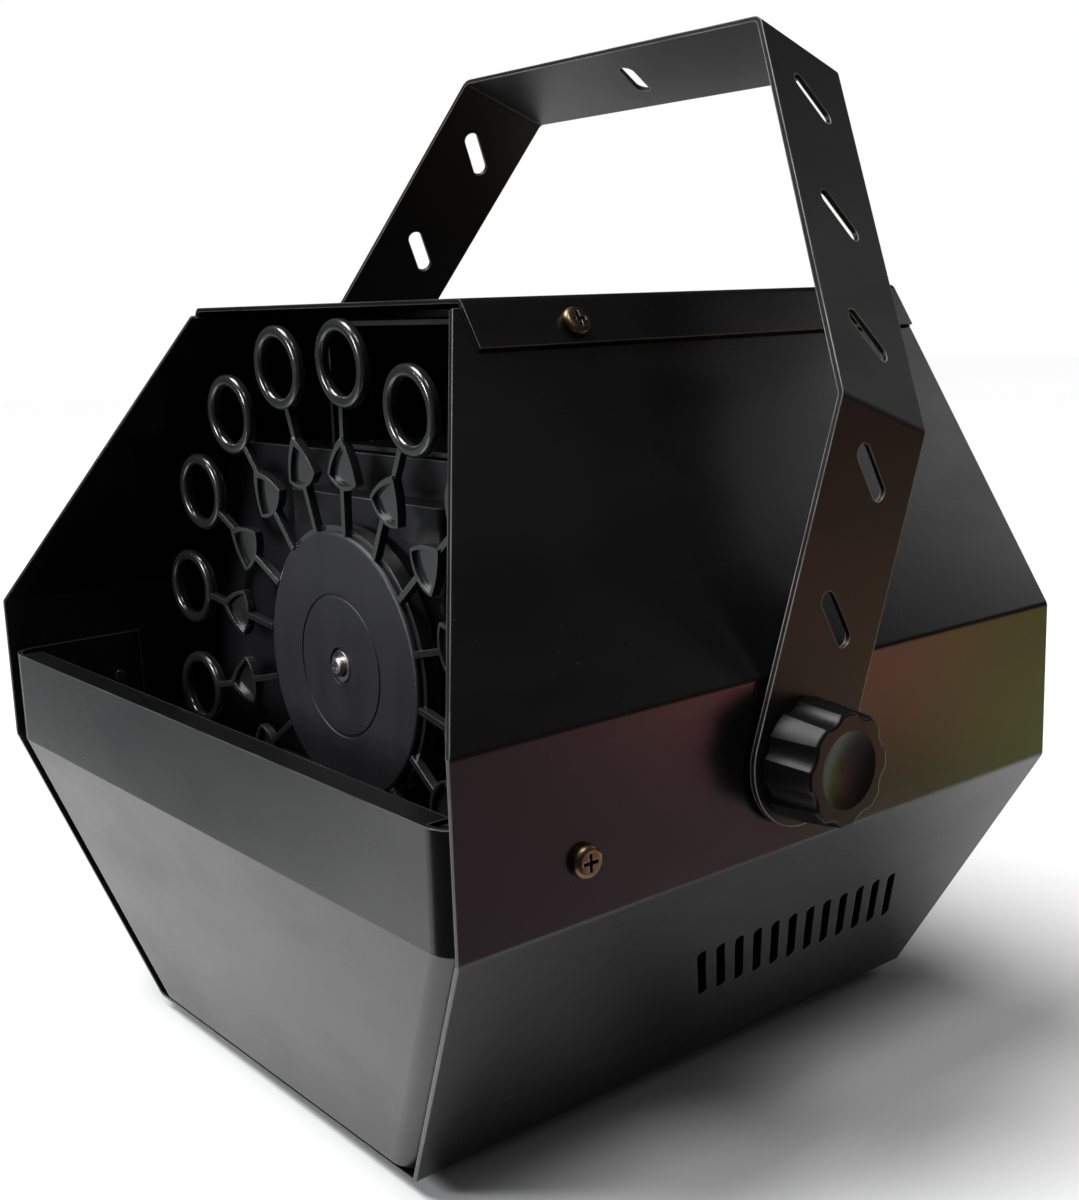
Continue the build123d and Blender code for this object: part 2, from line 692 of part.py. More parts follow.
# ---------------------------------------------------------------------------
# Wet side: fluid tank, splash partition and gearmotor
# ---------------------------------------------------------------------------
def tank_block(inset, z_low, z_high):
    """Solid form of the fluid tank, moved in by an inset."""
    slant = cos(radians(SIDE_ANGLE))
    sections = []
    for z in (z_low, z_high):
        half = inner_half(z, 2.4) - inset / slant
        front = front_y(z) + SHEET + 7.4 + inset
        with BuildSketch(Plane.XY.offset(z)) as section:
            with BuildLine():
                Polyline(
                    (-half, TANK_REAR_Y - inset), (-half, front), (half, front),
                    (half, TANK_REAR_Y - inset), close=True,
                )
            make_face()
            fillet(section.vertices(), max(8.0 - inset, 1.0))
        sections.append(section.sketch.face().outer_wire())
    return Part() + Solid.make_loft(sections, ruled=True)


def fluid_tank():
    """Open moulded tank that the rings dip into, standing on four ribs."""
    tank = tank_block(0, TANK_FLOOR_Z, TANK_RIM_Z)
    tank = tank - tank_block(TANK_WALL, TANK_FLOOR_Z + TANK_WALL, TANK_RIM_Z + 0.01)
    rib_low = SHEET + 0.05
    for x in (-42, -14, 14, 42):
        tank = tank + block(x - 2, x + 2, 36, TANK_REAR_Y - 4, rib_low, TANK_FLOOR_Z + 0.5)
    return tank


def partition():
    """Splash wall behind the wheel, with a bottom flange and a shelf under the blower."""
    body = prism_y(inner_outline(0.2), PARTITION_Y, PARTITION_Y + SHEET)
    wall = body & block(-130, 130, 60, 90, SHEET + 0.1, PARTITION_TOP)
    shelf_half = inner_half(PARTITION_TOP, 6)
    shelf = block(-shelf_half, shelf_half, PARTITION_Y, PARTITION_Y + 16, PARTITION_TOP - SHEET, PARTITION_TOP)
    flange = block(-66, 66, PARTITION_Y, PARTITION_Y + 12, SHEET + 0.1, 2 * SHEET + 0.1)
    window = block(-33, 33, 60, 80, MOTOR_PAN_LOW + 5, MOTOR_PAN_TOP - 5)
    holes = [rod_z(x, PARTITION_Y + 11, PARTITION_TOP - 4, PARTITION_TOP + 4, 1.7) for x in (-28, 28)]
    wall = wall + shelf + flange - window - pan_screw_holes() - holes
    return wall


def pan_screw_places():
    """Centres of the screws holding the motor pan to the partition."""
    return [(side * (MOTOR_PAN_HALF + 5.5), z) for side in (-1, 1) for z in (90.0, 153.0)]


def pan_screw_holes():
    """Holes for the motor pan's screws."""
    return [rod_y(x, 60, 85, z, 1.62) for x, z in pan_screw_places()]


def motor_pan():
    """Folded pan in front of the partition that carries the gearmotor."""
    rear = PARTITION_Y - 0.05
    half = MOTOR_PAN_HALF
    outline = [
        (half + 11, rear), (half, rear), (half, MOTOR_PAN_FRONT + SHEET),
        (-half, MOTOR_PAN_FRONT + SHEET), (-half, rear), (-half - 11, rear),
    ]
    middle = parallel(outline, SHEET / 2)
    path = FilletPolyline(*middle, radius=1.4)
    section = trace(path, line_width=SHEET)
    pan = extrude(Plane.XY.offset(MOTOR_PAN_LOW) * section, amount=MOTOR_PAN_TOP - MOTOR_PAN_LOW)
    pan = pan + block(-half, half, MOTOR_PAN_FRONT + 0.6, rear, MOTOR_PAN_TOP - SHEET, MOTOR_PAN_TOP)
    pan = pan + block(-half, half, MOTOR_PAN_FRONT + 0.6, rear, MOTOR_PAN_LOW, MOTOR_PAN_LOW + SHEET)
    pan = pan - rod_y(0, 50, 70, WHEEL_Z, 5.1)
    pan = pan - [rod_y(x, 50, 70, z, 1.62) for x, z in motor_screw_places()]
    return pan - pan_screw_holes()


def motor_screw_places():
    """Centres of the gearmotor's two ear screws."""
    return [(-29.0, WHEEL_Z), (29.0, WHEEL_Z)]


def small_screw(length):
    """Small pan head screw, head above the origin plane."""
    head = extrude(Circle(2.8), amount=1.8)
    head = fillet(head.faces().sort_by(Axis.Z)[-1].edges(), 0.9)
    cross = Box(3.0, 0.7, 1.8) + Box(0.7, 3.0, 1.8)
    return head + Pos(0, 0, -length / 2) * Cylinder(1.5, length) - Pos(0, 0, 1.8) * cross


def motor_screws():
    """Small screws through the pan: two into the motor ears, four into the partition."""
    screws = []
    for x, z in motor_screw_places():
        frame = on_face((x, MOTOR_PAN_FRONT, z), (0, -1, 0), (1, 0, 0))
        screws.append(frame * small_screw(5.0))
    for x, z in pan_screw_places():
        frame = on_face((x, PARTITION_Y - 0.05 - SHEET, z), (0, -1, 0), (1, 0, 0))
        screws.append(frame * small_screw(5.0))
    return merged(screws)


def shaft_bush():
    """Flanged bearing bush in the motor pan."""
    y = MOTOR_PAN_FRONT
    bush = rod_y(0, y - 0.02 - 1.4, y - 0.02, WHEEL_Z, 8.0) + rod_y(0, y - 0.5, y + SHEET, WHEEL_Z, 5.0)
    return bush - rod_y(0, y - 4, y + 4, WHEEL_Z, SHAFT_R + SHAFT_PLAY)


def wheel_motor():
    """Round synchronous gearmotor with two mounting ears and a terminal block."""
    y0 = MOTOR_PAN_FRONT + SHEET + 0.05
    can = rod_y(0, y0, y0 + 20, WHEEL_Z, 25.0)
    can = fillet(can.faces().sort_by(Axis.Y)[-1].edges(), 1.5)
    can = can + rod_y(0, y0 + 19, y0 + 21.2, WHEEL_Z, 6.0)
    ears = block(-33.0, 33.0, y0, y0 + 1.2, WHEEL_Z - 5.5, WHEEL_Z + 5.5)
    ears = fillet(ears.edges().filter_by(Axis.Y), 4.0)
    plug = block(-8, 8, y0 + 5, y0 + 17, WHEEL_Z - 31, WHEEL_Z - 22)
    motor = can + ears + plug
    motor = motor - [rod_y(x, 50, 80, z, 1.62) for x, z in motor_screw_places()]
    return motor - rod_y(0, y0 - 1, MOTOR_PAN_FRONT + 18.6, WHEEL_Z, SHAFT_R + SHAFT_PLAY)


# ---------------------------------------------------------------------------
# Blower
# ---------------------------------------------------------------------------
AXLE_Y = BLOWER_Y + SCROLL_STEP / 2
AXLE_Z = BLOWER_Z - SCROLL_STEP / 2
BLOWER_MOUTH_Y = PARTITION_Y + 2.0


def scroll_face():
    """Inside outline of the blower scroll in the Y-Z plane, outlet at the top front."""
    r1 = SCROLL_R
    r2 = SCROLL_R - SCROLL_STEP
    r3 = SCROLL_R - 2 * SCROLL_STEP
    r4 = SCROLL_R - 3 * SCROLL_STEP
    y1, z1 = BLOWER_Y, BLOWER_Z
    y2, z2 = y1 + SCROLL_STEP, z1
    y3, z3 = y2, z2 - SCROLL_STEP
    y4, z4 = y3 - SCROLL_STEP, z3
    rise = OUTLET_LOW - z4
    tongue = (y4 - (r4 ** 2 - rise ** 2) ** 0.5, OUTLET_LOW)
    quarter = 0.5 ** 0.5
    with BuildSketch(Plane.XY) as sketch:
        with BuildLine():
            Line((BLOWER_MOUTH_Y, z1 + r1), (y1, z1 + r1))
            ThreePointArc((y1, z1 + r1), (y1 + r1 * quarter, z1 + r1 * quarter), (y1 + r1, z1))
            ThreePointArc((y1 + r1, z1), (y2 + r2 * quarter, z2 - r2 * quarter), (y2, z2 - r2))
            ThreePointArc((y2, z2 - r2), (y3 - r3 * quarter, z3 - r3 * quarter), (y3 - r3, z3))
            half = radians(180 - degrees(atan2(rise, -(tongue[0] - y4))) / 2)
            ThreePointArc((y3 - r3, z3), (y4 + r4 * cos(half), z4 + r4 * sin(half)), tongue)
            Line(tongue, (BLOWER_MOUTH_Y, OUTLET_LOW))
            Line((BLOWER_MOUTH_Y, OUTLET_LOW), (BLOWER_MOUTH_Y, z1 + r1))
        make_face()
    return sketch.sketch


def blower_housing():
    """Scroll casing with a round intake on each side and a nozzle through the partition."""
    face = scroll_face()
    inner_half_width = SCROLL_HALF
    outer_half_width = SCROLL_HALF + SCROLL_WALL
    standing = Plane((0, 0, 0), x_dir=(0, 1, 0), z_dir=(1, 0, 0))
    inner = extrude(standing * face, amount=inner_half_width, both=True)
    grown = offset(face, amount=SCROLL_WALL, kind=Kind.INTERSECTION)
    outer = extrude(standing * grown, amount=outer_half_width, both=True)
    mouth = block(-60, 60, BLOWER_MOUTH_Y - 10, BLOWER_MOUTH_Y + 0.01, OUTLET_LOW - 10, 230)
    shell = outer - inner - mouth
    shell = shell - rod_x(-60, 60, AXLE_Y, AXLE_Z, 25.0)
    ears = block(-34, 34, BLOWER_MOUTH_Y + 1, BLOWER_MOUTH_Y + 14, OUTLET_LOW - SCROLL_WALL, OUTLET_LOW)
    shell = shell + ears
    for x in (-28, 28):
        shell = shell - rod_z(x, PARTITION_Y + 11, OUTLET_LOW - 5, OUTLET_LOW + 2, 1.62)
    return shell


def blower_impeller():
    """Drum impeller: centre disc, two rims and forward-curved blades."""
    disc = rod_x(-1.0, 1.0, 0, 0, IMPELLER_R - 0.6)
    rims = rod_x(-IMPELLER_HALF, -IMPELLER_HALF + 1.6, 0, 0, IMPELLER_R)
    rims = rims + rod_x(IMPELLER_HALF - 1.6, IMPELLER_HALF, 0, 0, IMPELLER_R)
    rims = rims - rod_x(-60, 60, 0, 0, IMPELLER_R - 6.4) 
    drum = disc + rims + rod_x(-8, 8, 0, 0, 6.0)
    with BuildSketch(Plane.YZ) as section:
        with BuildLine():
            start = (IMPELLER_R - 6.2, 0)
            end = (IMPELLER_R - 0.5, 2.8)
            outer = ThreePointArc(start, (IMPELLER_R - 2.9, 0.7), end)
            inner = ThreePointArc((start[0], 0.9), (IMPELLER_R - 3.2, 1.5), (end[0] - 0.5, end[1] + 0.7))
            Line(start, (start[0], 0.9))
            Line(end, (end[0] - 0.5, end[1] + 0.7))
        make_face()
    blade = extrude(section.sketch, amount=IMPELLER_HALF - 0.4, both=True)
    for step in range(BLADE_COUNT):
        drum = drum + Rot(step * 360 / BLADE_COUNT, 0, 0) * blade
    drum = drum - rod_x(-12, 12, 0, 0, 2.5)
    return Pos(0, AXLE_Y, AXLE_Z) * drum


MOTOR2_X0 = SCROLL_HALF + SCROLL_WALL + 3.0


def blower_shaft():
    """Motor shaft that carries the drum impeller."""
    return rod_x(-9, MOTOR2_X0 + 20, AXLE_Y, AXLE_Z, 2.5)


def blower_motor():
    """Round fan motor on three legs that straddle the right intake."""
    x0 = MOTOR2_X0
    can = rod_x(x0, x0 + 30, AXLE_Y, AXLE_Z, 17.0)
    can = fillet(can.faces().sort_by(Axis.X)[-1].edges(), 2.0)
    can = can + rod_x(x0 - 1.6, x0, AXLE_Y, AXLE_Z, 6.0)
    x_foot = SCROLL_HALF + SCROLL_WALL + 0.05
    motor = can
    for angle in (30, 150, 270):
        leg = block(x0 + 1.0, x0 + 2.6, -3.5, 3.5, 14, 33)
        leg = leg + block(x_foot, x0 + 2.6, -3.5, 3.5, 31.4, 33)
        leg = leg + block(x_foot, x_foot + 1.6, -3.5, 3.5, 27.0, 33)
        motor = motor + Pos(0, AXLE_Y, AXLE_Z) * Rot(angle, 0, 0) * leg
    return motor - rod_x(x0 - 4, x0 + 20.6, AXLE_Y, AXLE_Z, 2.5 + SHAFT_PLAY)


def blower_stand():
    """Folded stand that carries the scroll above the floor of the case."""
    top = BLOWER_Z - SCROLL_R - SCROLL_WALL + SCROLL_STEP - 0.1
    low = SHEET + 0.1
    outline = [(158, low), (136, low), (136, top), (158, top)]
    outline.reverse()
    return folded_along_x(outline, -26, 26, 1.6, 1.8)


# ---------------------------------------------------------------------------
# Mains parts
# ---------------------------------------------------------------------------
def power_inlet():
    """Three-pin mains inlet with its flange outside the back plate."""
    y = CASE_DEPTH
    flange = block(INLET_X - 25, INLET_X + 25, y, y + 2.4, INLET_Z - 12, INLET_Z + 12)
    flange = fillet(flange.edges().filter_by(Axis.Y), 4.0)
    body = block(INLET_X - 14, INLET_X + 14, y - 20, y + 0.1, INLET_Z - 10.4, INLET_Z + 10.4)
    well = [(-12.0, -7.8), (12.0, -7.8), (12.0, 3.2), (8.2, 7.8), (-8.2, 7.8), (-12.0, 3.2)]
    socket = prism_y([(INLET_X + x, INLET_Z + z) for x, z in well], y - 16.5, y + 3)
    inlet = flange + body - socket
    for x, z in ((-7.0, -2.0), (0.0, 2.0), (7.0, -2.0)):
        pin = block(INLET_X + x - 1, INLET_X + x + 1, y - 17, y - 3, INLET_Z + z - 2, INLET_Z + z + 2)
        tail = block(INLET_X + x - 2.4, INLET_X + x + 2.4, y - 27, y - 19.5, INLET_Z + z - 0.4, INLET_Z + z + 0.4)
        inlet = inlet + pin + tail
    for side in (-1, 1):
        inlet = inlet - rod_y(INLET_X + side * 20, y - 1, y + 4, INLET_Z, 1.62)
    return inlet


def inlet_screws():
    """Two small screws holding the mains inlet."""
    screws = []
    for side in (-1, 1):
        frame = on_face((INLET_X + side * 20, CASE_DEPTH + 2.4, INLET_Z), (0, 1, 0), (1, 0, 0))
        screws.append(frame * small_screw(8.0))
    return merged(screws)


def switch_body():
    """Snap-in frame of the rocker switch."""
    y = CASE_DEPTH
    rim = block(SWITCH_X - 7.6, SWITCH_X + 7.6, y, y + 2.0, SWITCH_Z - 10.6, SWITCH_Z + 10.6)
    rim = fillet(rim.edges().filter_by(Axis.Y), 1.2)
    body = block(SWITCH_X - 6.5, SWITCH_X + 6.5, y - 14, y + 0.1, SWITCH_Z - 9.6, SWITCH_Z + 9.6)
    well = block(SWITCH_X - 5.0, SWITCH_X + 5.0, y - 9.5, y + 3, SWITCH_Z - 8.4, SWITCH_Z + 8.4)
    switch = rim + body - well
    for z in (-6, 0, 6):
        switch = switch + block(SWITCH_X - 2.4, SWITCH_X + 2.4, y - 21, y - 13.5, SWITCH_Z + z - 0.4, SWITCH_Z + z + 0.4)
    return switch


ROCKER_Y = CASE_DEPTH - 3.2
ROCKER_REST = 8.0


def switch_rocker():
    """Two-way rocker, stored pressed to one side about its own X axle."""
    outline = [(-2.6, -7.2), (4.2, -7.4), (3.4, 0), (4.2, 7.4), (-2.6, 7.2)]
    rocker = prism_x(outline, -4.6, 4.6)
    rocker = fillet(rocker.edges().filter_by(Axis.X).sort_by(Axis.Y)[-2:], 0.5)
    return Pos(SWITCH_X, ROCKER_Y, SWITCH_Z) * Rot(ROCKER_REST, 0, 0) * rocker


def fuse_holder():
    """Round panel fuse holder, its nut inside the back plate."""
    y = CASE_DEPTH
    body = rod_y(FUSE_X, y - 28, y + 0.5, FUSE_Z, 6.0) + rod_y(FUSE_X, y, y + 2.2, FUSE_Z, 8.2)
    nut_sketch = on_face((FUSE_X, REAR_INNER_Y - 0.05, FUSE_Z), (0, -1, 0), (1, 0, 0)) * RegularPolygon(8.6, 6)
    body = body + extrude(nut_sketch, amount=3.0)
    body = body - rod_y(FUSE_X, y - 24, y + 3, FUSE_Z, 4.4)
    return body + block(FUSE_X - 2.2, FUSE_X + 2.2, y - 35, y - 27.5, FUSE_Z - 0.4, FUSE_Z + 0.4)


def fuse_cap():
    """Bayonet cap that carries the fuse, with a coin slot."""
    y = CASE_DEPTH
    cap = rod_y(FUSE_X, y + 2.3, y + FUSE_CAP_REACH, FUSE_Z, 6.6)
    cap = fillet(cap.faces().sort_by(Axis.Y)[-1].edges(), 0.8)
    carrier = rod_y(FUSE_X, y - 20, y + 3, FUSE_Z, 4.33)
    slot = block(FUSE_X - 5, FUSE_X + 5, y + FUSE_CAP_REACH - 1.8, y + FUSE_CAP_REACH + 1, FUSE_Z - 0.7, FUSE_Z + 0.7)
    return cap + carrier - slot


def terminal_block():
    """Screw terminal strip on the floor of the case."""
    x0, y0, z0 = -58.0, 168.0, SHEET + 0.05
    strip = block(x0, x0 + 44, y0, y0 + 18, z0, z0 + 9)
    for step in range(5):
        x = x0 + 6 + step * 8
        strip = strip + rod_z(x, y0 + 9, z0 + 8, z0 + 14, 3.4)
        strip = strip - rod_z(x, y0 + 9, z0 + 11, z0 + 15, 2.3)
    return strip


WIRE_R = 1.3


def wire(points):
    """One insulated lead following a smooth path."""
    path = Spline(*points)
    section = Plane(origin=path @ 0, z_dir=path % 0) * Circle(WIRE_R)
    return sweep(section, path=path)


def wiring():
    """Leads between the mains parts, the terminal strip and the two motors."""
    y = CASE_DEPTH
    leads = [
        wire([(INLET_X + 7, y - 29, INLET_Z - 2), (-26, 178, 34), (-28, 168, 20), (-28, 163, 10)]),
        wire([(INLET_X - 7, y - 29, INLET_Z - 2), (-42, 178, 34), (-44, 166, 20), (-44, 163, 10)]),
        wire([(SWITCH_X, y - 23, SWITCH_Z), (8, 182, 34), (-6, 178, 12), (-12, 174, 8)]),
        wire([(FUSE_X, y - 37, FUSE_Z), (40, 172, 30), (10, 172, 8), (-12, 179, 6)]),
        wire([(-52, 163, 12), (-56, 130, 26), (-30, 100, 70), (-4, 92, 88)]),
        wire([(-36, 163, 12), (-34, 140, 40), (-50, 125, 150), (-40, 122, 172)]),
    ]
    return merged(leads)


# ---------------------------------------------------------------------------
# Write every node
# ---------------------------------------------------------------------------
export_node("case_wrap", case_wrap())
export_node("front_panel", front_panel())
export_node("top_cover", top_cover())
export_node("rear_panel", rear_panel())
export_node("rubber_feet", rubber_feet())
export_node("foot_screws", foot_screws())
export_node("cover_screws", screws_at(cover_screw_frames()))
export_node("panel_screws", screws_at(tray_screw_frames()))
export_node("rear_angles", rear_angles())
export_node("rear_screws", screws_at(rear_screw_frames(), 6.0))
export_node("hanging_bracket", hanging_bracket())
export_node("knob_right", clamp_knob(1))
export_node("knob_left", clamp_knob(-1))
export_node("stud_right", clamp_stud(1))
export_node("stud_left", clamp_stud(-1))
export_node("pivot_washers", pivot_washers())
export_node("pivot_nuts", pivot_nuts())
export_node("wand_wheel", wand_wheel())
export_node("hub_disc", hub_disc())
export_node("hub_screw", hub_screw())
export_node("wheel_shaft", wheel_shaft())
export_node("shaft_bush", shaft_bush())
export_node("fluid_tank", fluid_tank())
export_node("partition", partition())
export_node("motor_pan", motor_pan())
export_node("motor_screws", motor_screws())
export_node("wheel_motor", wheel_motor())
export_node("blower_housing", blower_housing())
export_node("blower_impeller", blower_impeller())
export_node("blower_shaft", blower_shaft())
export_node("blower_motor", blower_motor())
export_node("blower_stand", blower_stand())
export_node("power_inlet", power_inlet())
export_node("inlet_screws", inlet_screws())
export_node("switch_body", switch_body())
export_node("switch_rocker", switch_rocker())
export_node("fuse_holder", fuse_holder())
export_node("fuse_cap", fuse_cap())
export_node("terminal_block", terminal_block())
export_node("wiring", wiring())
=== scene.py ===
import json
import math

import bpy
from mathutils import Matrix, Vector

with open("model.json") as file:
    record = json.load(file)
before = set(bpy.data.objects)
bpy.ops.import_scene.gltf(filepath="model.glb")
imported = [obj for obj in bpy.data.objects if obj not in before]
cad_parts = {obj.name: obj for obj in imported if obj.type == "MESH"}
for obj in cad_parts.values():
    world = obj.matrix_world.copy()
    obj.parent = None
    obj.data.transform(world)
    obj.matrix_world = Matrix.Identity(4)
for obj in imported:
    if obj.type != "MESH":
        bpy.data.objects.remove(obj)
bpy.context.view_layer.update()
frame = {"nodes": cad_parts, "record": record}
NODES = frame["nodes"]
SLOT_OF = {entry["node"]: entry["material_slot"] for entry in frame["record"]["subparts"]}

# Lengths are metres. Noise scales are features per metre.
WHITE = (1.0, 1.0, 1.0)
BEVEL_SAMPLES = 6
EDGE_DOT_FLAT = 0.99
EDGE_DOT_SHARP = 0.85

# Camera, fitted to the case's outline
CAMERA_PLACE = (0.3671, -0.2813, 0.2226)
CAMERA_AZIMUTH = 51.15
CAMERA_ELEVATION = 11.18
CAMERA_ROLL = -1.95
CAMERA_LENS = 45.48
CAMERA_SENSOR = 36.0
CAMERA_CLIP_START = 0.01

# Floor edges on -X, +X, -Y and +Y; the near ones lie just outside the camera's view
FLOOR_EDGES = (-4.0, 0.215, -0.198, 4.0)

# Room brightness, as lit surfaces feel it and as the camera sees it
ROOM_FELT_COLOUR = (0.95, 0.97, 1.0, 1.0)
ROOM_FELT = 0.055
ROOM_SEEN = 1.0

# Points that the lights are aimed at
FRONT_FOOT = (0.06, -0.13, 0.0)
RIGHT_FLOOR = (0.24, -0.02, 0.0)
BELT_FRONT = (0.0, -0.11, 0.09)
BELT_RIGHT = (0.13, 0.0, 0.09)
BRACKET_RIGHT = (0.13, 0.0, 0.28)

# Overhead light: direction it comes from, strength, spread in degrees
OVERHEAD = ((-0.30, -0.34, 1.0), 3.9, 36.0)

# Pools light the floor. Cards are what the black paint mirrors past the floor's near edges.
# Name, place, target, width, height, power, colour
SOFT_LIGHTS = (
    ("front_pool", (-0.26, -0.72, 0.32), FRONT_FOOT, 0.16, 0.16, 3.0, (0.97, 0.98, 1.0)),
    ("side_pool", (0.44, -0.10, 0.95), RIGHT_FLOOR, 0.30, 0.30, 2.6, WHITE),
    ("front_card", (-0.52, -0.36, -0.12), BELT_FRONT, 0.45, 0.45, 0.19, (0.95, 0.99, 1.0)),
    ("front_card_near", (-0.28, -0.44, -0.17), BELT_FRONT, 0.25, 0.35, 0.40, WHITE),
    ("red_card", (0.62, 0.33, -0.20), BELT_RIGHT, 0.36, 0.45, 0.23, (1.0, 0.62, 0.74)),
    ("red_card_high", (0.70, 0.62, -0.02), BELT_RIGHT, 0.30, 0.22, 0.36, (1.0, 0.28, 0.22)),
    ("olive_card", (0.40, 0.66, -0.17), BELT_RIGHT, 0.28, 0.40, 0.29, (0.72, 1.0, 0.20)),
    ("upper_card", (0.42, 1.05, 0.66), BRACKET_RIGHT, 0.28, 0.40, 0.60, WHITE),
)


# ---------------------------------------------------------------------------
# Small helpers for building node trees
# ---------------------------------------------------------------------------
class Tree:
    """A material's node tree with short calls to add and join nodes."""

    def __init__(self, name):
        self.material = bpy.data.materials.new(name)
        self.material.use_nodes = True
        self.nodes = self.material.node_tree.nodes
        self.links = self.material.node_tree.links
        self.shader = self.nodes["Principled BSDF"]
        coords = self.nodes.new("ShaderNodeTexCoord")
        self.place = coords.outputs["Object"]

    def put(self, socket, value):
        """Set a socket to a number or colour, or link it to another socket."""
        if isinstance(value, bpy.types.NodeSocket):
            self.links.new(value, socket)
        else:
            socket.default_value = value

    def noise(self, scale, detail=3.0, rough=0.5, stretch=None):
        """Noise value over the object's own coordinates."""
        node = self.nodes.new("ShaderNodeTexNoise")
        node.inputs["Scale"].default_value = scale
        node.inputs["Detail"].default_value = detail
        node.inputs["Roughness"].default_value = rough
        vector = self.place
        if stretch is not None:
            mapping = self.nodes.new("ShaderNodeMapping")
            mapping.inputs["Scale"].default_value = stretch
            self.links.new(self.place, mapping.inputs["Vector"])
            vector = mapping.outputs["Vector"]
        self.links.new(vector, node.inputs["Vector"])
        return node.outputs["Fac"]

    def specks(self, scale):
        """Distance to random points, for grit and dust."""
        node = self.nodes.new("ShaderNodeTexVoronoi")
        node.inputs["Scale"].default_value = scale
        self.links.new(self.place, node.inputs["Vector"])
        return node.outputs["Distance"]

    def remap(self, value, low, high, to_low, to_high):
        """Linear remap with clamping."""
        node = self.nodes.new("ShaderNodeMapRange")
        self.put(node.inputs["Value"], value)
        node.inputs["From Min"].default_value = low
        node.inputs["From Max"].default_value = high
        node.inputs["To Min"].default_value = to_low
        node.inputs["To Max"].default_value = to_high
        return node.outputs["Result"]

    def math(self, kind, a, b=0.0):
        """Arithmetic on two values."""
        node = self.nodes.new("ShaderNodeMath")
        node.operation = kind
        self.put(node.inputs[0], a)
        self.put(node.inputs[1], b)
        return node.outputs["Value"]

    def blend(self, factor, a, b):
        """Mix of two colours."""
        node = self.nodes.new("ShaderNodeMix")
        node.data_type = "RGBA"
        self.put(node.inputs["Factor"], factor)
        self.put(node.inputs["A"], a)
        self.put(node.inputs["B"], b)
        return node.outputs["Result"]

    def edges(self, radius):
        """1 on sharp edges within the radius, 0 on flat faces."""
        bevel = self.nodes.new("ShaderNodeBevel")
        bevel.samples = BEVEL_SAMPLES
        bevel.inputs["Radius"].default_value = radius
        geometry = self.nodes.new("ShaderNodeNewGeometry")
        dot = self.nodes.new("ShaderNodeVectorMath")
        dot.operation = "DOT_PRODUCT"
        self.links.new(bevel.outputs["Normal"], dot.inputs[0])
        self.links.new(geometry.outputs["True Normal"], dot.inputs[1])
        return self.remap(dot.outputs["Value"], EDGE_DOT_FLAT, EDGE_DOT_SHARP, 0.0, 1.0)

    def bump(self, layers, radius=None):
        """Chain of bump layers (height, strength, distance), with rounded edges underneath."""
        normal = None
        if radius:
            bevel = self.nodes.new("ShaderNodeBevel")
            bevel.samples = BEVEL_SAMPLES
            bevel.inputs["Radius"].default_value = radius
            normal = bevel.outputs["Normal"]
        for height, strength, distance in layers:
            node = self.nodes.new("ShaderNodeBump")
            node.inputs["Strength"].default_value = strength
            node.inputs["Distance"].default_value = distance
            self.links.new(height, node.inputs["Height"])
            if normal is not None:
                self.links.new(normal, node.inputs["Normal"])
            normal = node.outputs["Normal"]
        self.links.new(normal, self.shader.inputs["Normal"])


def grey(value, tint=WHITE):
    """Opaque colour from a linear grey and a tint."""
    return (value * tint[0], value * tint[1], value * tint[2], 1.0)


def around(tree, value, roughness, below, above):
    """Roughness that wanders below and above its middle value with a noise."""
    return tree.remap(value, 0.3, 0.7, roughness - below, roughness + above)


# ---------------------------------------------------------------------------
# Materials
# ---------------------------------------------------------------------------
def painted_sheet(name, value, tint, roughness, edge_highlight_and_wear_grey, edge_highlight_and_wear_strength, ior):
    """Stoved satin paint on sheet steel: orange peel, smears, dust, and lighter edges, a painted
    highlight along the edges mixed with some wear.
    """
    tree = Tree(name)
    smear = tree.noise(scale=14.0, detail=4.0, rough=0.6, stretch=(1.0, 0.6, 2.2))
    cloud = tree.noise(scale=5.0, detail=2.0)
    peel = tree.noise(scale=900.0, detail=2.0)
    fine = tree.noise(scale=3200.0, detail=1.0)
    dust = tree.remap(tree.specks(420.0), 0.05, 0.10, 1.0, 0.0)
    patchy = tree.math("MULTIPLY", dust, tree.remap(tree.noise(scale=30.0), 0.55, 0.7, 0.0, 0.35))
    base = tree.blend(cloud, grey(value * 0.8, tint), grey(value * 1.25, tint))
    base = tree.blend(patchy, base, grey(0.16, (1.0, 0.98, 0.95)))
    # Lighter edges: a painted highlight where the rounded sheet edges catch light, mixed with
    # some wear.
    edge = tree.edges(0.0006)
    edge_highlight_and_wear_patches = tree.remap(tree.noise(scale=60.0, detail=4.0), 0.35, 0.65, edge_highlight_and_wear_strength * 0.4, edge_highlight_and_wear_strength)
    lighter_edge_mask = tree.math("MULTIPLY", edge, edge_highlight_and_wear_patches)
    base = tree.blend(lighter_edge_mask, base, grey(edge_highlight_and_wear_grey, (1.0, 0.99, 0.97)))
    tree.put(tree.shader.inputs["Base Color"], base)
    tree.put(tree.shader.inputs["Roughness"], around(tree, smear, roughness, 0.05, 0.07))
    tree.shader.inputs["IOR"].default_value = ior
    tree.bump([(peel, 0.10, 0.00012), (fine, 0.06, 0.00004)], radius=0.0004)
    return tree.material


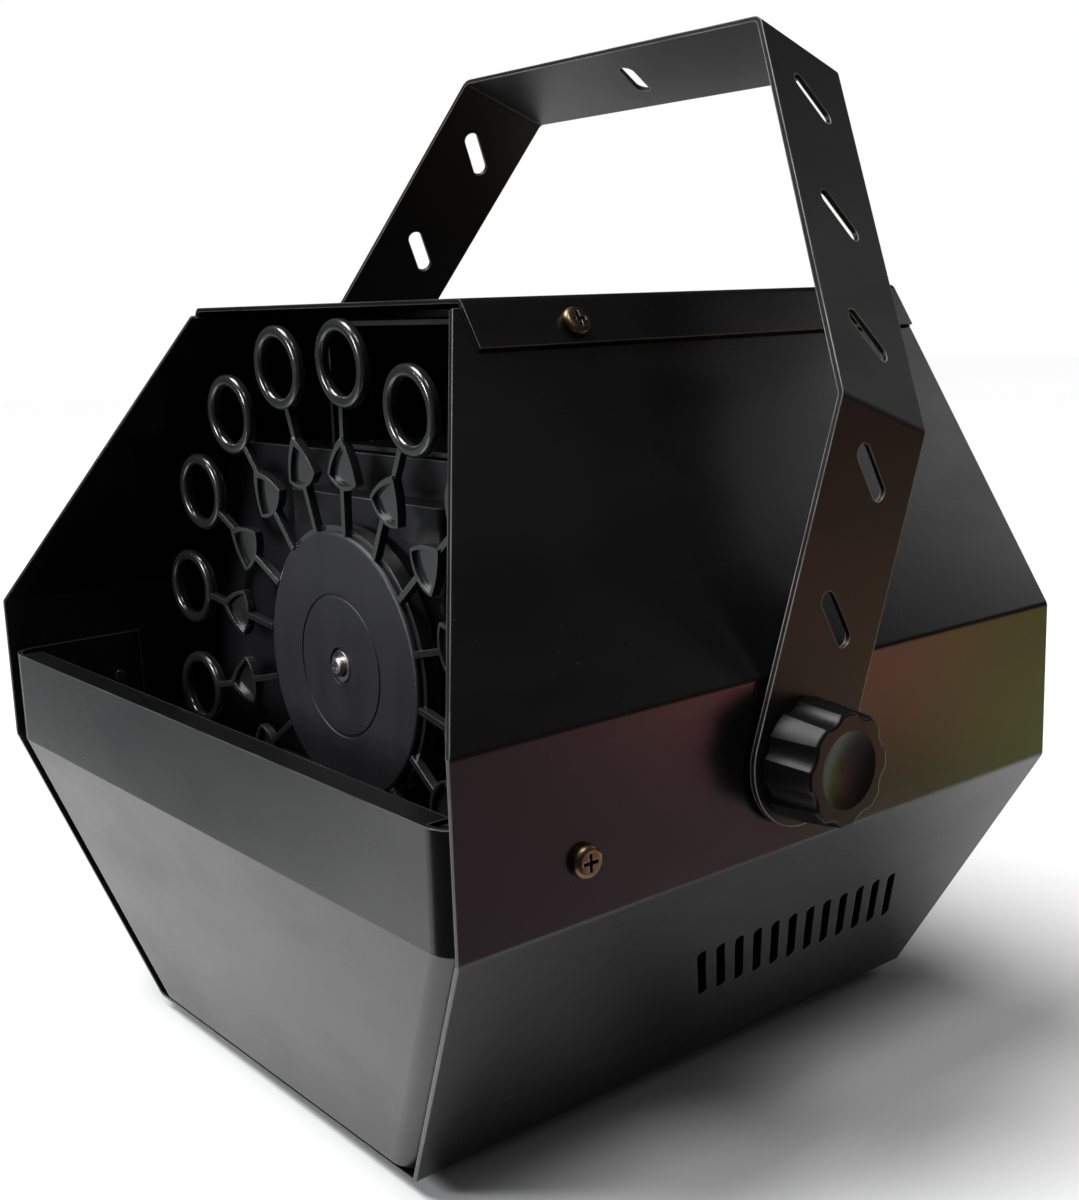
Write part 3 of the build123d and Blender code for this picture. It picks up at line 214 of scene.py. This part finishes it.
def moulded_plastic(name, value, roughness, grain, tint=(1.0, 1.0, 1.02), edge_highlight_and_wear_grey=None,
                    coat=0.0, ior=1.5):
    """Injection-moulded plastic: fine grain, flow marks, and lighter edges, a painted highlight
    along rims and edges with some rubbing.
    """
    tree = Tree(name)
    cloud = tree.noise(scale=22.0, detail=3.0)
    flow = tree.noise(scale=70.0, detail=3.0, rough=0.6, stretch=(1.0, 1.0, 0.25))
    texture = tree.noise(scale=2600.0, detail=2.0)
    base = tree.blend(cloud, grey(value * 0.82, tint), grey(value * 1.2, tint))
    # Lighter edges: a painted highlight along rims and edges, with some rubbing.
    lift = edge_highlight_and_wear_grey if edge_highlight_and_wear_grey is not None else value * 2.2
    lighter_edge_mask = tree.math("MULTIPLY", tree.edges(0.0005), tree.remap(flow, 0.3, 0.7, 0.25, 0.8))
    base = tree.blend(lighter_edge_mask, base, grey(lift, tint))
    tree.put(tree.shader.inputs["Base Color"], base)
    tree.put(tree.shader.inputs["Roughness"], around(tree, flow, roughness, 0.05, 0.07))
    tree.shader.inputs["IOR"].default_value = ior
    tree.shader.inputs["Coat Weight"].default_value = coat
    tree.shader.inputs["Coat Roughness"].default_value = 0.12
    tree.bump([(flow, 0.06, 0.0002), (texture, grain, 0.00006)], radius=0.00035)
    return tree.material


def plated_metal(name, colour, roughness, stretch, tarnish):
    """Plated or turned metal: fine directional marks, cloudy tarnish and worn edges."""
    tree = Tree(name)
    lines = tree.noise(scale=240.0, detail=3.0, rough=0.6, stretch=stretch)
    cloud = tree.noise(scale=160.0, detail=4.0, rough=0.6)
    dull = (colour[0] * tarnish, colour[1] * tarnish * 0.93, colour[2] * tarnish * 0.85, 1.0)
    base = tree.blend(tree.remap(cloud, 0.35, 0.65, 0.0, 1.0), (*colour, 1.0), dull)
    lighter_edge_mask = tree.math("MULTIPLY", tree.edges(0.0003), 0.5)
    base = tree.blend(lighter_edge_mask, base, (0.85, 0.82, 0.78, 1.0))
    tree.put(tree.shader.inputs["Base Color"], base)
    tree.shader.inputs["Metallic"].default_value = 1.0
    tree.put(tree.shader.inputs["Roughness"], around(tree, lines, roughness, 0.06, 0.12))
    tree.bump([(lines, 0.12, 0.00005), (cloud, 0.08, 0.00006)], radius=0.00025)
    return tree.material


def soft_rubber(name, value):
    """Matte rubber with bloom and a pebbled skin."""
    tree = Tree(name)
    bloom = tree.noise(scale=80.0, detail=4.0)
    pebble = tree.specks(1400.0)
    base = tree.blend(bloom, grey(value * 0.7), grey(value * 1.8))
    tree.put(tree.shader.inputs["Base Color"], base)
    tree.put(tree.shader.inputs["Roughness"], tree.remap(bloom, 0.3, 0.7, 0.7, 0.88))
    tree.bump([(pebble, 0.25, 0.0001)], radius=0.0004)
    return tree.material


# Base value and edge grey are linear greys; the edge strength is how far the edges are lightened,
# a painted highlight mixed with some wear.
SHEETS = {
    "case_paint": dict(value=0.0034, tint=(1.05, 1.0, 1.08), roughness=0.26,
                       edge_highlight_and_wear_grey=0.22, edge_highlight_and_wear_strength=0.55, ior=1.44),
    "bracket_paint": dict(value=0.006, tint=(1.15, 1.0, 0.95), roughness=0.44,
                          edge_highlight_and_wear_grey=0.55, edge_highlight_and_wear_strength=1.0, ior=1.34),
    "inner_paint": dict(value=0.011, tint=(1.0, 1.0, 1.15), roughness=0.36,
                        edge_highlight_and_wear_grey=0.30, edge_highlight_and_wear_strength=0.7, ior=1.42),
}
PLASTICS = {
    "knob_plastic": dict(value=0.004, roughness=0.34, grain=0.08, tint=(1.1, 0.98, 1.0),
                         ior=1.30),
    "wheel_plastic": dict(value=0.016, roughness=0.22, grain=0.05, edge_highlight_and_wear_grey=0.09, coat=0.8),
    "disc_plastic": dict(value=0.012, roughness=0.50, grain=0.16, tint=(0.98, 0.98, 1.14)),
    "tank_plastic": dict(value=0.012, roughness=0.45, grain=0.2),
    "blower_plastic": dict(value=0.008, roughness=0.45, grain=0.2),
    "electric_plastic": dict(value=0.012, roughness=0.35, grain=0.12),
    "rocker_plastic": dict(value=0.01, roughness=0.2, grain=0.04, coat=0.4),
    "terminal_plastic": dict(value=0.6, roughness=0.45, grain=0.1, tint=(1.0, 0.97, 0.88),
                             edge_highlight_and_wear_grey=0.7),
    "wire_pvc": dict(value=0.03, roughness=0.35, grain=0.05),
    "fibre": dict(value=0.02, roughness=0.75, grain=0.3, tint=(1.1, 1.0, 0.85)),
}
RUBBERS = {"rubber": dict(value=0.012)}
METALS = {
    "zinc": dict(colour=(0.62, 0.63, 0.65), roughness=0.30, stretch=(1.0, 6.0, 1.0),
                 tarnish=0.75),
    "yellow_zinc": dict(colour=(0.20, 0.14, 0.09), roughness=0.30, stretch=(1.0, 3.0, 1.0),
                        tarnish=0.5),
    "motor_steel": dict(colour=(0.5, 0.5, 0.51), roughness=0.35, stretch=(1.0, 8.0, 1.0),
                        tarnish=0.8),
    "bush_brass": dict(colour=(0.66, 0.5, 0.24), roughness=0.3, stretch=(1.0, 5.0, 1.0),
                       tarnish=0.7),
}

MATERIALS = {}
for make, looks in (
    (painted_sheet, SHEETS),
    (moulded_plastic, PLASTICS),
    (soft_rubber, RUBBERS),
    (plated_metal, METALS),
):
    for material_name, look in looks.items():
        MATERIALS[material_name] = make(material_name, **look)

for node_name, obj in NODES.items():
    obj.data.materials.clear()
    obj.data.materials.append(MATERIALS[SLOT_OF[node_name]])


# ---------------------------------------------------------------------------
# Stage, light and camera
# ---------------------------------------------------------------------------
def add_object(name, data):
    """New object in the scene for a mesh, a light or a camera."""
    obj = bpy.data.objects.new(name, data)
    bpy.context.collection.objects.link(obj)
    return obj


def pale_floor():
    """Plain pale floor with a faint unevenness of tone."""
    tree = Tree("floor_paper")
    tone = tree.noise(scale=1.2, detail=2.0)
    tree.put(tree.shader.inputs["Base Color"], tree.blend(tone, grey(0.86), grey(0.9)))
    rough = tree.remap(tree.noise(scale=40.0), 0.3, 0.7, 0.75, 0.85)
    tree.put(tree.shader.inputs["Roughness"], rough)
    left, right, front, rear = FLOOR_EDGES
    corners = [(left, front, 0), (right, front, 0), (right, rear, 0), (left, rear, 0)]
    mesh = bpy.data.meshes.new("floor")
    mesh.from_pydata(corners, [], [(0, 1, 2, 3)])
    mesh.materials.append(tree.material)
    floor = add_object("floor", mesh)


def soft_light(name, position, target, width, height, power, colour):
    """Rectangular softbox aimed at a point."""
    data = bpy.data.lights.new(name, "AREA")
    data.shape = "RECTANGLE"
    data.size = width
    data.size_y = height
    data.energy = power
    data.color = colour
    light = add_object(name, data)
    light.location = position
    direction = Vector(target) - Vector(position)
    light.rotation_euler = direction.to_track_quat("-Z", "Y").to_euler()


def room():
    """Room that the camera sees as white, and that lights and reflects only dimly."""
    world = bpy.data.worlds.new("room")
    world.use_nodes = True
    bpy.context.scene.world = world
    nodes = world.node_tree.nodes
    links = world.node_tree.links
    seen = nodes.new("ShaderNodeBackground")
    seen.inputs["Color"].default_value = (*WHITE, 1.0)
    seen.inputs["Strength"].default_value = ROOM_SEEN
    felt = nodes["Background"]
    felt.inputs["Color"].default_value = ROOM_FELT_COLOUR
    felt.inputs["Strength"].default_value = ROOM_FELT
    path = nodes.new("ShaderNodeLightPath")
    mix = nodes.new("ShaderNodeMixShader")
    links.new(path.outputs["Is Camera Ray"], mix.inputs["Fac"])
    links.new(felt.outputs["Background"], mix.inputs[1])
    links.new(seen.outputs["Background"], mix.inputs[2])
    links.new(mix.outputs["Shader"], nodes["World Output"].inputs["Surface"])


def camera():
    """Camera at the photograph's angle and distance."""
    az = math.radians(CAMERA_AZIMUTH)
    el = math.radians(CAMERA_ELEVATION)
    roll = math.radians(CAMERA_ROLL)
    forward = Vector((-math.sin(az) * math.cos(el), math.cos(az) * math.cos(el), -math.sin(el)))
    level_right = forward.cross(Vector((0, 0, 1))).normalized()
    level_up = level_right.cross(forward)
    right = level_right * math.cos(roll) + level_up * math.sin(roll)
    up = level_up * math.cos(roll) - level_right * math.sin(roll)
    data = bpy.data.cameras.new("camera")
    data.lens = CAMERA_LENS
    data.sensor_width = CAMERA_SENSOR
    data.clip_start = CAMERA_CLIP_START
    view = add_object("camera", data)
    turn = Matrix((right, up, -forward)).transposed()
    view.matrix_world = Matrix.Translation(CAMERA_PLACE) @ turn.to_4x4()
    bpy.context.scene.camera = view


def broad_sun(name, source, strength, spread):
    """Even light over the whole stage from one direction, with a wide soft disc."""
    data = bpy.data.lights.new(name, "SUN")
    data.energy = strength
    data.angle = math.radians(spread)
    light = add_object(name, data)
    light.rotation_euler = Vector(source).to_track_quat("Z", "Y").to_euler()


pale_floor()
room()
camera()
broad_sun("overhead", *OVERHEAD)
for soft in SOFT_LIGHTS:
    soft_light(*soft)
bpy.context.scene.view_settings.view_transform = "Standard"
